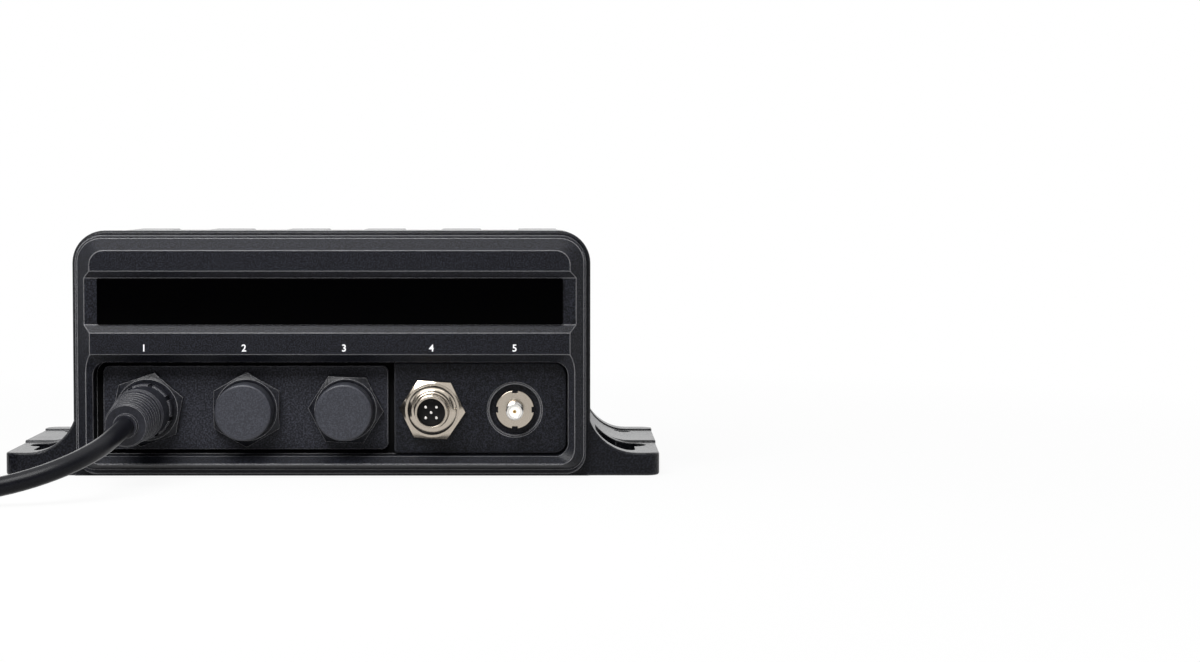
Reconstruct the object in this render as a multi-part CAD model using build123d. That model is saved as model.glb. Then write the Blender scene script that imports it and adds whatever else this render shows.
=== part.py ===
"""Marine VHF transceiver, the remote-mounted main unit, as separate pieces in millimetres.

A die-cast chassis with two screw-down feet is closed by a moulded front. The front holds three
handset sockets, a round 5-pin network socket and a small coaxial socket for a satellite aerial.
The handset's lead is plugged into the first socket; screw caps cover the other two.

+X runs to the right of someone who looks at the front, +Z is up, and the front faces -Y.
Z = 0 is the surface that the feet stand on. "Depth" is the distance behind the plateau, the
foremost flat face of the moulded front; what stands in front of the plateau has a minus depth.
"""

from build123d import *
import math
import os

os.makedirs("parts", exist_ok=True)

# ---------------------------------------------------------------- driving dimensions
PANEL_DEPTH = 8.5  # the moulded front, plateau to chassis
CHASSIS_LENGTH = 95.0
CAP_PROUD = 6.0  # socket caps stand this far in front of the plateau
ANTENNA_PROUD = 16.0  # rear antenna socket, behind the chassis

CHASSIS_FRONT = PANEL_DEPTH
CHASSIS_BACK = PANEL_DEPTH + CHASSIS_LENGTH
TOTAL_LENGTH = CAP_PROUD + CHASSIS_BACK + ANTENNA_PROUD
FRONT_Y = CAP_PROUD - TOTAL_LENGTH / 2  # Y of the plateau, with the box centred on Y = 0

CASE_HALF = 93.6  # cast body, half its width
CASE_TOP = 88.7
CASE_CORNER = 10.6
FLANGE_HALF = 94.9  # front flange of the casting, a little larger than the body
FLANGE_TOP = 90.0
FLANGE_THICK = 3.0
FLANGE_ROUND = 1.2
WALL = 3.6
UNDERSIDE_RAISE = 1.0  # the body's underside clears the surface between the feet

FOOT_HALF_SPAN = 120.4
FOOT_THICK = 8.4
FOOT_SWEEP = 18.4  # radius of the hollow between foot and side wall, at the front
FOOT_CORNER = 5.0
FOOT_EDGE, FOOT_SOLE_EDGE = 0.8, 0.9  # rounding along its top and its underside
LAND_START = 51.0  # depth where the foot steps up
LAND_RISE, LAND_SWEEP = 0.8, 16.4
REAR_RIM, REAR_RIM_RISE = 9.5, 0.6  # a low raised band along the rear edge
SCREW_PLACE_X = 109.4
SCREW_HOLE = 5.0
FRONT_SCREW = 40.0  # depths of the screw places
REAR_SCREW = 88.2
POCKET = (97.0, 111.8, 16.5, 45.5)  # left, right, near, far
POCKET_FLOOR = 4.2
SCREW_SEAT, SPOT_FACE = 7.0, 4.3  # radii of the seat in the pocket and of the rear spot face

RIB_PITCH = 30.0
RIB_WIDTH = 15.6
RIB_HEIGHT = 0.5

BEZEL_HALF = 93.3
BEZEL_LOW = 1.0
BEZEL_HIGH = 88.4
RIM_DEPTH = 4.5  # front face of the bezel's narrow rim
PLATEAU_HALF = 87.4
PLATEAU_LOW = 4.7
PLATEAU_HIGH = 82.9
SLOPE_HALF, SLOPE_LOW, SLOPE_HIGH = 92.4, 2.7, 87.2  # where the slope up to the plateau starts
BEZEL_CORNERS, SLOPE_CORNERS, PLATEAU_CORNERS = (7.3, 10.0), (6.0, 8.8), (4.0, 5.2)  # low, high

CHANNEL_DEPTH = 2.0
CHANNEL_LOW, CHANNEL_HIGH = 52.9, 75.4  # at the plateau
STRIP_LOW, STRIP_HIGH = 55.8, 72.9
STRIP_HALF = 84.8
STRIP_THICK = 0.7

PANEL_HOLLOW = (-87.0, 87.0, 47.5, 83.5)  # behind the channel: left, right, low, high

RECESS_BEVEL = 2.9  # depth of the bevel round the recess
RECESS_HALF, RECESS_LOW, RECESS_HIGH = 86.65, 7.7, 42.1  # inside the bevel
RECESS_CORNER = 4.8
BEVEL_HALF, BEVEL_LOW, BEVEL_HIGH = 92.0, 5.1, 45.05  # bevel's outer edge
BEVEL_CORNER = 6.0
RECESS_FLOOR = 12.0
TUB_WALL = 2.0
TUB_BACK = RECESS_FLOOR + TUB_WALL

SOCKET_Z = 24.3
HANDSET_X = (-67.6, -31.2, 5.2)
NETWORK_X = 37.0
GPS_X = 67.2

HANDSET_PLATE = (-84.2, 20.7, 9.4, 40.4)  # left, right, low, high
HANDSET_PLATE_FRONT = 10.5
NETWORK_PLATE = (22.9, 86.2, 8.1, 41.7)
NETWORK_PLATE_FRONT = 8.0

# M16 handset sockets: 24 mm nut, 16 mm thread
THREAD_RADIUS = 8.0
NUT_FLATS = 24.0
NUT_FRONT = 6.5
NUT_TURNS = (19.0, 30.0, -2.5)  # how far each nut happens to be turned, degrees
BARREL_FRONT = -3.2
HOLE_PLAY = 0.2
MOVING_GAP = 0.35  # radial room between a barrel and what screws over it
CAP_RADIUS = 10.3
CAP_SEAL = 1.2
CAP_END_WALL = 2.4

# plug on the first socket
RING_RADIUS = 9.4
RING_END = -18.5
GRIP_RADIUS, GRIP_END = 10.1, -2.0  # the ring's wider grip, next to the nut
GRIP_NOTCHES, NOTCH_WIDTH, NOTCH_DEPTH = 8, 1.8, 0.9
BOOT_START = RING_END - 0.6
BOOT_END = -40.5
BOOT_LIP = 1.6  # the short collar round the lead
BOOT_DROOP, BOOT_SWING = 4.7, 2.0  # degrees, down and to the left
LEAD = 6.6  # diameter of the handset lead

# M12 five-pin network socket
NETWORK_FLATS = 21.0
NETWORK_NUT_FRONT = 5.5
NETWORK_MOUTH = -5.5
PIN_CIRCLE = 2.75
PIN_RADIUS = 0.5

# satellite aerial socket, 1/4-36 thread
GPS_WELL = 10.1
GPS_WELL_DEPTH = 2.5
GPS_THREAD = 3.175
GPS_SHANK = 2.85  # behind the free thread, where the ring nut sits
GPS_TIP = -0.9
GPS_RING = 7.2
GPS_RING_FRONT = NETWORK_PLATE_FRONT + 0.5

# rear
ANTENNA_X, ANTENNA_Z = -52.0, 52.0
GLAND_Z = 26.0
GLAND_X = (18.0, 56.0)
GLAND_THREAD = 8.0
GLAND_BORE = 3.6
EARTH_X, EARTH_Z = -82.0, 34.0

# case screws, from the rear into the moulded front
CASE_SCREW_X = 84.5
CASE_SCREW_Z = {"low": 12.0, "high": 78.0}
CASE_SCREW_NEAR = {"low": 17.0, "high": 8.0}
BOSS_MEET = {"low": 24.0, "high": 16.0}  # depth where chassis boss and panel boss meet
SCREW_RADIUS = 2.0

# inside
JACK_BOARD = 22.0
BOARD_Z = 14.0
BOARD_THICK = 1.6
BOARD_HALF = 77.0
BOARD_NEAR, BOARD_FAR = 27.0, 96.0
POST_X, POST_DEPTHS = 70.0, (33.0, 90.0)

# put-away coil of the lead
COIL_X, COIL_FRONT = -177.0, 27.3  # centre, and how far it lies in front of the plateau
COLUMNS, ROWS = 5, 4
MID_TURN = 12.25 * LEAD / 2
TIE = 0.8  # thickness of the strap, which also lies under the turns
COIL_HALF = COLUMNS * LEAD / 2
COIL_TOP = TIE + ROWS * LEAD

# free connector on the lead's far end, lying on the turns
CONNECTOR_RADIUS = 9.3
CONNECTOR_START = (-10.0, 39.6, COIL_TOP + CONNECTOR_RADIUS + 0.1)  # from the coil's middle


# ---------------------------------------------------------------- helpers
def plane_at(depth):
    """The upright plane at a depth; its sketches read X to the right and Z up."""
    return Plane(origin=(0, FRONT_Y + depth, 0), x_dir=(1, 0, 0), z_dir=(0, -1, 0))


def slab(sketch, near, far):
    """A sketch in X and Z, made solid from the near depth to the far one."""
    return extrude(plane_at(far) * sketch, far - near)


def rod(x, z, near, far, radius):
    return slab(Pos(x, z) * Circle(radius), near, far)


def tube(x, z, near, far, outer, inner):
    return slab(Pos(x, z) * (Circle(outer) - Circle(inner)), near, far)


def block(left, right, near, far, low, high):
    """A box from its limits in X, in depth and in Z."""
    sketch = Pos((left + right) / 2, (low + high) / 2) * Rectangle(right - left, high - low)
    return slab(sketch, near, far)


def post(x, depth, low, high, radius):
    """An upright cylinder."""
    return extrude(Pos(x, FRONT_Y + depth, low) * Circle(radius), high - low)


def turned(x, z, *profile):
    """A turned piece on the Y axis through (x, z); the profile's points are (depth, radius)."""
    wire = Polyline(*[(x + radius, FRONT_Y + depth) for depth, radius in profile], close=True)
    return revolve(Pos(0, 0, z) * make_face(wire), Axis((x, 0, z), (0, 1, 0)), 360)


def outline(left, right, low, high, r_low, r_high):
    """A rectangle in X and Z; its low corners have one radius and its high corners another."""
    sketch = Pos((left + right) / 2, (low + high) / 2) * Rectangle(right - left, high - low)
    if r_low:
        sketch = fillet(sketch.vertices().group_by(Axis.Y)[0], r_low)
    return fillet(sketch.vertices().group_by(Axis.Y)[-1], r_high)


def hex_nut(x, z, near, far, flats, bore, turn):
    """A hexagon nut, its front corners turned off at about thirty degrees."""
    corner = flats / math.sqrt(3)
    turned_off = corner - 0.47 * flats
    prism = slab(
        Pos(x, z) * RegularPolygon(flats / 2, 6, major_radius=False, rotation=turn), near, far
    )
    blank = turned(
        x, z, (near, 0), (near, corner - turned_off), (near + 0.55 * turned_off, corner),
        (far, corner), (far, 0),
    )
    return (prism & blank) - rod(x, z, near - 1, far + 1, bore)


def both_sides(solid):
    return solid + mirror(solid, Plane.YZ)


def contact_pins(x, z, circle, count, first, spans):
    """One contact in the middle and others on a circle, each in the spans it shows in."""
    places = [(x, z)]
    for index in range(count):
        angle = math.radians(first + 360 * index / count)
        places.append((x + circle * math.cos(angle), z + circle * math.sin(angle)))
    section = RegularPolygon(PIN_RADIUS, 12)
    return [slab(Pos(*place) * section, near, far) for place in places for near, far in spans]


# ---------------------------------------------------------------- chassis
def foot_profile(top, sweep):
    """Right foot in section: a flat flange swept up into the side wall."""
    steepest = math.radians(75)
    centre_x, centre_z = CASE_HALF + sweep, top + sweep

    def on_sweep(angle):
        return centre_x - sweep * math.sin(angle), centre_z - sweep * math.cos(angle)

    into_wall = 1.0
    wall_x = CASE_HALF - into_wall
    end_x, end_z = on_sweep(steepest)
    wall_z = end_z + (end_x - wall_x) * math.tan(steepest)
    inner = CASE_HALF - 6
    edge = Polyline((inner, 0), (FOOT_HALF_SPAN, 0), (FOOT_HALF_SPAN, top), on_sweep(0))
    sweep_arc = ThreePointArc(on_sweep(0), on_sweep(steepest / 2), on_sweep(steepest))
    close = Polyline(on_sweep(steepest), (wall_x, wall_z), (inner, wall_z), (inner, 0))
    return make_face(edge + sweep_arc + close)


def foot_plan(near, far, low):
    """The foot seen from above, its outer corners rounded, as a tall solid."""
    inner = CASE_HALF - 10
    plan = Pos((inner + FOOT_HALF_SPAN) / 2, FRONT_Y + (CHASSIS_FRONT + CHASSIS_BACK) / 2) * Rectangle(
        FOOT_HALF_SPAN - inner, CHASSIS_LENGTH
    )
    plan = fillet(plan.vertices().group_by(Axis.X)[-1], FOOT_CORNER)
    high = FOOT_THICK + 2 * FOOT_SWEEP
    return extrude(plan, high) & block(inner, FOOT_HALF_SPAN, near, far, low, high)


def foot_part(near, far, top, sweep, edge):
    """A length of the right foot with rounded upper and lower edges."""
    part = slab(foot_profile(top, sweep), near, far) & foot_plan(near, far, 0)
    front = part.faces().sort_by(Axis.Y)[0].edges()
    upper = [line for line in front if line.center().Z > top - 0.1 and line.center().X > CASE_HALF]
    outer = [line for line in part.edges() if line.center().X > FOOT_HALF_SPAN - 2]
    upper += [line for line in outer if abs(line.center().Z - top) < 0.01 and line not in upper]
    part = fillet(upper, edge)
    sole = [
        line for line in part.edges()
        if line.center().X > FOOT_HALF_SPAN - 2 and abs(line.center().Z) < 0.01
    ]
    return fillet(sole, FOOT_SOLE_EDGE)


def foot():
    """Right foot: low at the front screw place, a land behind it and a raised band at the rear."""
    land_top = FOOT_THICK + LAND_RISE
    solid = foot_part(CHASSIS_FRONT, LAND_START + 1, FOOT_THICK, FOOT_SWEEP, FOOT_EDGE)
    solid += foot_part(LAND_START, CHASSIS_BACK, land_top, LAND_SWEEP, FOOT_EDGE / 2)
    rim = slab(foot_profile(land_top + REAR_RIM_RISE, LAND_SWEEP), CHASSIS_BACK - REAR_RIM, CHASSIS_BACK)
    return solid + (rim & foot_plan(0, CHASSIS_BACK, FOOT_THICK))


def screw_places():
    """What is cut out of the right foot: a pocket, and a round seat for each screw."""
    left, right, near, far = POCKET
    pocket = Pos((left + right) / 2, FRONT_Y + (near + far) / 2, POCKET_FLOOR) * Rectangle(
        right - left, far - near
    )
    pocket = fillet(pocket.vertices().group_by(Axis.X)[0], 3.0)
    pocket = fillet(pocket.vertices().group_by(Axis.X)[-1].sort_by(Axis.Y)[0], 5.0)
    cuts = extrude(pocket, 40)
    cuts += post(SCREW_PLACE_X, FRONT_SCREW, POCKET_FLOOR, 40, SCREW_SEAT)
    cuts += post(SCREW_PLACE_X, REAR_SCREW, FOOT_THICK + LAND_RISE, 40, SPOT_FACE)
    for depth in (FRONT_SCREW, REAR_SCREW):
        cuts += post(SCREW_PLACE_X, depth, -1, 20, SCREW_HOLE / 2)
    return cuts


def top_ribs():
    """Six wide, shallow ribs that run from the front flange to the rear."""
    near, far = CHASSIS_FRONT + FLANGE_THICK, CHASSIS_BACK
    half, slope = RIB_WIDTH / 2, 0.5
    low, high = CASE_TOP - 1, CASE_TOP + RIB_HEIGHT
    ribs = []
    for index in range(6):
        x = (index - 2.5) * RIB_PITCH
        section = Polyline(
            (x - half, low), (x + half, low), (x + half, CASE_TOP), (x + half - slope, high),
            (x - half + slope, high), (x - half, CASE_TOP), close=True,
        )
        ribs.append(slab(make_face(section), near, far))
    return ribs


def case_bosses():
    """Columns for the case screws, each tied to the side wall by a web."""
    bosses = Part()
    for level, z in CASE_SCREW_Z.items():
        near, far = BOSS_MEET[level], CHASSIS_BACK - WALL / 2
        bosses += rod(CASE_SCREW_X, z, near, far, 4.5)
        bosses += block(CASE_SCREW_X, CASE_HALF - 1, near, far, z - 1.5, z + 1.5)
    return bosses


def chassis():
    body = slab(
        outline(-CASE_HALF, CASE_HALF, 0, CASE_TOP, 0, CASE_CORNER), CHASSIS_FRONT, CHASSIS_BACK
    )
    flange = slab(
        outline(-FLANGE_HALF, FLANGE_HALF, 0, FLANGE_TOP, 0, CASE_CORNER + FLANGE_TOP - CASE_TOP),
        CHASSIS_FRONT, CHASSIS_FRONT + FLANGE_THICK,
    )
    rounded = flange.faces().sort_by(Axis.Y)[0].edges().sort_by(Axis.Z)[1:]
    flange = fillet(rounded, FLANGE_ROUND)
    cast = body + flange + both_sides(foot())
    for rib in top_ribs():
        cast += rib
    cavity = outline(
        WALL - CASE_HALF, CASE_HALF - WALL, WALL + 0.6, CASE_TOP - WALL, 3.0, CASE_CORNER - WALL
    )
    cast -= slab(cavity, CHASSIS_FRONT, CHASSIS_BACK - WALL)
    cast -= both_sides(screw_places())
    cast -= block(-86, 86, CHASSIS_FRONT + 5, CHASSIS_BACK - 3, -1, UNDERSIDE_RAISE)
    cast += both_sides(case_bosses())
    for depth in POST_DEPTHS:
        cast += both_sides(post(POST_X, depth, WALL, BOARD_Z, 3.5))
        cast -= both_sides(post(POST_X, depth, BOARD_Z - 7, BOARD_Z, 1.5))
    for level, z in CASE_SCREW_Z.items():
        cast -= both_sides(rod(CASE_SCREW_X, z, BOSS_MEET[level], CHASSIS_BACK, SCREW_RADIUS))
    cast += block(
        ANTENNA_X - 15, ANTENNA_X + 15, CHASSIS_BACK, CHASSIS_BACK + 1, ANTENNA_Z - 15, ANTENNA_Z + 15
    )
    cast -= rod(ANTENNA_X, ANTENNA_Z, CHASSIS_BACK - 10, CHASSIS_BACK + 2, 6.5)
    for x, z in antenna_screw_places():
        cast -= rod(x, z, CHASSIS_BACK - WALL, CHASSIS_BACK + 1, 1.5)
    for x in GLAND_X:
        cast -= rod(x, GLAND_Z, CHASSIS_BACK - 10, CHASSIS_BACK + 2, GLAND_THREAD)
    cast += rod(EARTH_X, EARTH_Z, CHASSIS_BACK, CHASSIS_BACK + 1, 6)
    cast -= rod(EARTH_X, EARTH_Z, CHASSIS_BACK - 2.6, CHASSIS_BACK + 1, 2)
    return cast - gasket_ring()


def gasket_ring():
    """Ring in the chassis's front edge, under the bezel."""
    near, far = CHASSIS_FRONT, CHASSIS_FRONT + 1.2
    half, low, high, width = 92.4, 2.2, 87.2, 1.5
    outer = outline(-half, half, low, high, 6.5, 9.4)
    inner = outline(width - half, half - width, low + width, high - width, 6.5 - width, 9.4 - width)
    return slab(outer - inner, near, far)


# ---------------------------------------------------------------- moulded front
def front_panel():
    bezel = slab(
        outline(-BEZEL_HALF, BEZEL_HALF, BEZEL_LOW, BEZEL_HIGH, *BEZEL_CORNERS), RIM_DEPTH,
        PANEL_DEPTH,
    )
    bezel = fillet(bezel.faces().sort_by(Axis.Y)[0].edges(), 0.5)
    base = plane_at(RIM_DEPTH) * outline(
        -SLOPE_HALF, SLOPE_HALF, SLOPE_LOW, SLOPE_HIGH, *SLOPE_CORNERS
    )
    top = plane_at(0) * outline(
        -PLATEAU_HALF, PLATEAU_HALF, PLATEAU_LOW, PLATEAU_HIGH, *PLATEAU_CORNERS
    )
    panel = bezel + loft([base, top])
    panel += slab(
        outline(-RECESS_HALF - TUB_WALL, RECESS_HALF + TUB_WALL, RECESS_LOW - TUB_WALL,
                RECESS_HIGH + TUB_WALL, 5.0, 5.0),
        PANEL_DEPTH, TUB_BACK,
    )
    panel -= channel()
    bevel_outer = plane_at(0) * outline(
        -BEVEL_HALF, BEVEL_HALF, BEVEL_LOW, BEVEL_HIGH, BEVEL_CORNER, BEVEL_CORNER
    )
    inner = outline(-RECESS_HALF, RECESS_HALF, RECESS_LOW, RECESS_HIGH, RECESS_CORNER, RECESS_CORNER)
    panel -= loft([bevel_outer, plane_at(RECESS_BEVEL) * inner])
    panel -= slab(inner, RECESS_BEVEL - 0.01, RECESS_FLOOR)
    panel -= slab(outline(*PANEL_HOLLOW, 3.0, 6.0), RIM_DEPTH, PANEL_DEPTH)
    for x in HANDSET_X:
        panel -= rod(x, SOCKET_Z, RECESS_FLOOR, TUB_BACK, THREAD_RADIUS + HOLE_PLAY)
    panel -= rod(NETWORK_X, SOCKET_Z, RECESS_FLOOR, TUB_BACK, THREAD_RADIUS + HOLE_PLAY)
    panel -= rod(GPS_X, SOCKET_Z, RECESS_FLOOR, TUB_BACK, 5.0)
    for level, z in CASE_SCREW_Z.items():
        start = TUB_BACK if level == "low" else RIM_DEPTH
        boss = rod(CASE_SCREW_X, z, start, BOSS_MEET[level], 3.8)
        boss -= rod(CASE_SCREW_X, z, CASE_SCREW_NEAR[level], BOSS_MEET[level], SCREW_RADIUS)
        panel += both_sides(boss)
    return panel


def channel():
    """Shallow channel across the front with sloped walls, open at both sides."""
    slope = STRIP_LOW - CHANNEL_LOW
    low, high = CHANNEL_LOW, CHANNEL_HIGH
    y = FRONT_Y
    section = Polyline(
        (y - 1, low - slope / 2), (y, low), (y + CHANNEL_DEPTH, low + slope),
        (y + CHANNEL_DEPTH, high - slope + 0.4), (y, high), (y - 1, high + slope / 2), close=True,
    )
    width = 2 * BEZEL_HALF
    return extrude(Plane.YZ * make_face(section), width / 2, both=True)


def name_strip():
    strip = slab(
        outline(-STRIP_HALF, STRIP_HALF, STRIP_LOW + 0.1, STRIP_HIGH - 0.1, 0.8, 0.8),
        CHANNEL_DEPTH - STRIP_THICK, CHANNEL_DEPTH,
    )
    return chamfer(strip.faces().sort_by(Axis.Y)[0].edges(), 0.2)


def handset_plate():
    plate = slab(outline(*HANDSET_PLATE, 2.5, 2.5), HANDSET_PLATE_FRONT, RECESS_FLOOR)
    plate = chamfer(plate.faces().sort_by(Axis.Y)[0].edges(), 0.3)
    for x in HANDSET_X:
        plate -= rod(x, SOCKET_Z, HANDSET_PLATE_FRONT, RECESS_FLOOR, THREAD_RADIUS + HOLE_PLAY)
    return plate


def network_plate():
    left, right, low, high = NETWORK_PLATE
    sketch = Pos((left + right) / 2, (low + high) / 2) * Rectangle(right - left, high - low)
    sketch = fillet(sketch.vertices().group_by(Axis.X)[-1], RECESS_CORNER - 0.4)
    sketch = fillet(sketch.vertices().group_by(Axis.X)[0], 1.0)
    plate = slab(sketch, NETWORK_PLATE_FRONT, RECESS_FLOOR)
    plate = fillet(plate.faces().sort_by(Axis.Y)[0].edges(), 0.8)
    plate -= rod(NETWORK_X, SOCKET_Z, NETWORK_PLATE_FRONT, RECESS_FLOOR, THREAD_RADIUS + HOLE_PLAY)
    front, well_floor = NETWORK_PLATE_FRONT, NETWORK_PLATE_FRONT + GPS_WELL_DEPTH
    plate -= turned(
        GPS_X, SOCKET_Z, (front, 0), (front, GPS_WELL), (front + 0.6, GPS_WELL - 0.6),
        (well_floor, GPS_WELL - 0.6), (well_floor, 0),
    )
    return plate - rod(GPS_X, SOCKET_Z, well_floor, RECESS_FLOOR, 5.0)


# ---------------------------------------------------------------- handset sockets and caps
def handset_socket(x):
    """Threaded barrel with a flange behind the recess floor, open at the front."""
    chamfer_in = 0.6
    return turned(
        x, SOCKET_Z,
        (BARREL_FRONT, 6.8), (BARREL_FRONT, THREAD_RADIUS - chamfer_in),
        (BARREL_FRONT + chamfer_in, THREAD_RADIUS), (TUB_BACK, THREAD_RADIUS),
        (TUB_BACK, 10.0), (TUB_BACK + 2, 10.0), (TUB_BACK + 2, 7.8), (20.0, 7.8), (20.0, 6.8),
    )


def handset_insert(x):
    """Insulating block that holds the pins, well back in the barrel."""
    block_front = 4.0
    return turned(x, SOCKET_Z, (block_front, 0), (block_front, 6.8), (20.0, 6.8), (20.0, 0))


def handset_pins():
    """Seven pins on a circle and one in the middle of each socket, and their tails behind."""
    pins = []
    for x in HANDSET_X:
        pins += contact_pins(x, SOCKET_Z, 4.2, 7, 90, [(-0.5, 4.0), (20.0, JACK_BOARD)])
    return pins


def handset_nut(x, turn):
    return hex_nut(
        x, SOCKET_Z, NUT_FRONT, HANDSET_PLATE_FRONT, NUT_FLATS, THREAD_RADIUS, turn
    )


def socket_cap(x):
    """Screw cap: a plain cup with a rounded front edge."""
    near, far = -CAP_PROUD, NUT_FRONT - CAP_SEAL
    cup = rod(x, SOCKET_Z, near, far, CAP_RADIUS)
    cup -= rod(x, SOCKET_Z, near + CAP_END_WALL, far, THREAD_RADIUS + MOVING_GAP)
    rims = cup.edges().filter_by(GeomType.CIRCLE).sort_by(Axis.Y)
    return fillet(rims[0], 0.9)


def cap_seal(x):
    """Rubber ring between the cap's rim and the nut."""
    return tube(x, SOCKET_Z, NUT_FRONT - CAP_SEAL, NUT_FRONT, CAP_RADIUS - 0.5,
                THREAD_RADIUS + MOVING_GAP)


# ---------------------------------------------------------------- plug and lead
def plug_ring():
    """Coupling ring over the barrel of the first socket; it turns on the plug's body."""
    x = HANDSET_X[0]
    near, far = RING_END, NUT_FRONT - 0.4
    inner, neck = THREAD_RADIUS + MOVING_GAP, 7.9
    shoulder = BARREL_FRONT - 1.0
    ring = turned(
        x, SOCKET_Z,
        (near, neck), (near, RING_RADIUS - 0.8), (near + 0.8, RING_RADIUS), (GRIP_END, RING_RADIUS),
        (GRIP_END, GRIP_RADIUS - 0.4), (GRIP_END + 0.4, GRIP_RADIUS), (far - 0.4, GRIP_RADIUS),
        (far, GRIP_RADIUS - 0.4), (far, inner), (shoulder, inner), (shoulder, neck),
    )
    for index in range(GRIP_NOTCHES):
        turn = Rot(0, 0, 30 + 360 * index / GRIP_NOTCHES)
        notch = turn * Pos(GRIP_RADIUS, 0) * Rectangle(2 * NOTCH_DEPTH, NOTCH_WIDTH)
        ring -= slab(Pos(x, SOCKET_Z) * notch, GRIP_END, far + 1)
    return ring


def plug_body():
    """Plug shell inside the ring, with a hollow nose that reaches into the barrel."""
    x = HANDSET_X[0]
    return turned(
        x, SOCKET_Z,
        (BOOT_START, 0), (BOOT_START, 7.5), (BARREL_FRONT - 0.6, 7.5), (BARREL_FRONT - 0.6, 6.5),
        (3.0, 6.5), (3.0, 5.5), (-2.0, 5.5), (-2.0, 0),
    )


def plug_boot():
    """Ribbed, tapered strain relief that hangs a little."""
    x = HANDSET_X[0]
    start, end = BOOT_START, BOOT_END
    big, small, ridge_step, ridges = 8.8, 7.7, 0.75, 6
    pitch = (start - end - 3.0) / ridges
    profile = [
        (end - BOOT_LIP, 0), (end - BOOT_LIP, 4.2), (end, 4.4), (end, small - 0.5), (end + 0.5, small),
    ]
    for index in range(ridges):
        near = end + 1.6 + index * pitch
        radius = small + (big - small) * (index + 1) / ridges
        profile += [
            (near, radius - ridge_step - 0.1), (near + 0.35 * pitch, radius - ridge_step),
            (near + 0.45 * pitch, radius), (near + 0.95 * pitch, radius),
        ]
    profile += [(start - 1.0, big), (start, big), (start, 0)]
    root = (x, FRONT_Y + start, SOCKET_Z)
    boot = turned(x, SOCKET_Z, *profile)
    boot = boot.rotate(Axis(root, (1, 0, 0)), BOOT_DROOP).rotate(Axis(root, (0, 0, 1)), -BOOT_SWING)
    return boot - rod(x, SOCKET_Z, start, start + 5, 12)


def lead_exit():
    """Where the lead leaves the boot, as a point in front of the panel."""
    root = Vector(HANDSET_X[0], FRONT_Y + BOOT_START, SOCKET_Z)
    reach = Vector(0, BOOT_END - BOOT_LIP - BOOT_START, 0)
    return root + reach.rotate(Axis.X, BOOT_DROOP).rotate(Axis.Z, -BOOT_SWING)


def before(x, distance, z):
    """A point of the lead, at a distance in front of the plateau."""
    return Vector(x, FRONT_Y - distance, z)


def on_coil(u, v, z):
    """A point of the lead, from the middle of the coil."""
    return Vector(COIL_X + u, FRONT_Y - COIL_FRONT + v, z)


def lead_tube(name, points):
    """The lead along straight runs joined by arcs as large as the runs allow."""
    radii = []
    for start, corner, end in zip(points, points[1:], points[2:]):
        run_in, run_out = corner - start, end - corner
        half_turn = math.radians(run_in.get_angle(run_out)) / 2
        radii.append(0.45 * min(run_in.length, run_out.length) / math.tan(half_turn))
    path = FilletPolyline(*points, radius=radii)
    section = Plane(origin=path @ 0, z_dir=path % 0) * Circle(LEAD / 2)
    swept = sweep(section, path=path)
    expected = math.pi * (LEAD / 2) ** 2 * path.length
    print(name, "length", round(path.length, 1), "volume ratio", round(swept.volume / expected, 4))
    print(name, "radii", [round(radius, 1) for radius in radii])
    return swept


def handset_cord():
    """From the boot forward, round to the left and down, and on to the coil."""
    return lead_tube("handset_cord", [
        lead_exit(),
        before(-69.3, 57.4, 20.6),
        before(-73.0, 71.8, 17.1),
        before(-82.4, 82.6, 12.4),
        before(-95.8, 88.6, 8.0),
        before(-111.2, 89.6, 4.8),
        before(-129.0, 87.2, 3.6),
        before(-150.0, 84.2, 3.5),
        before(-170.5, 81.8, 4.1),
    ])


def cord_tail():
    """From the top of the coil into the connector that lies on it."""
    return lead_tube("cord_tail", [
        on_coil(-53.2, -6.4, 24.0),
        on_coil(-53.2, 6.2, 26.6),
        on_coil(-49.6, 18.2, 29.6),
        on_coil(-42.6, 28.2, 32.4),
        on_coil(-32.6, 35.6, 34.8),
        on_coil(-21.2, 39.3, 36.2),
        on_coil(*CONNECTOR_START),
    ])


def cord_coil():
    """Outer shape of the put-away turns."""
    section = Pos(MID_TURN, (TIE + COIL_TOP) / 2) * Rectangle(2 * COIL_HALF, COIL_TOP - TIE)
    section = chamfer(section.vertices(), LEAD / 2)
    ring = revolve(Plane.XZ * section, Axis.Z, 360)
    return Pos(COIL_X, FRONT_Y - COIL_FRONT, 0) * ring


def coil_tie():
    """Strap round the turns, on the side towards the unit."""
    curve_room = 0.6  # the inner turns curve away from the straight strap
    middle = Pos(MID_TURN - curve_room / 2, (TIE + COIL_TOP) / 2)
    across, high = 2 * COIL_HALF + curve_room, COIL_TOP - TIE
    hole = middle * RectangleRounded(across, high, LEAD / 2)
    band = middle * RectangleRounded(across + 2 * TIE, high + 2 * TIE, LEAD / 2 + TIE)
    width = 10.0
    strap = extrude(Plane.XZ * (band - hole), width / 2, both=True)
    return Pos(COIL_X, FRONT_Y - COIL_FRONT, 0) * strap


def along_x(*profile):
    """A turned piece on the connector's axis; points are (distance from its start, radius)."""
    centre = on_coil(*CONNECTOR_START)
    wire = Polyline(*[(centre.X + u, centre.Z + radius) for u, radius in profile], close=True)
    face = Plane(origin=(0, centre.Y, 0), x_dir=(1, 0, 0), z_dir=(0, -1, 0)) * make_face(wire)
    return revolve(face, Axis(centre, (1, 0, 0)), 360)


def lead_connector():
    """Free socket on the lead's end: shell, threaded mouth and boot in one turned shape."""
    return along_x(
        (0, 0), (0, 4.6), (9.5, 6.6), (9.5, 7.6), (16.0, 7.6), (16.0, CONNECTOR_RADIUS),
        (31.4, CONNECTOR_RADIUS), (32.0, 8.7), (32.0, 8.0), (39.4, 8.0), (40.0, 7.4), (40.0, 6.8),
        (35.0, 6.8), (35.0, 0),
    )


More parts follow.
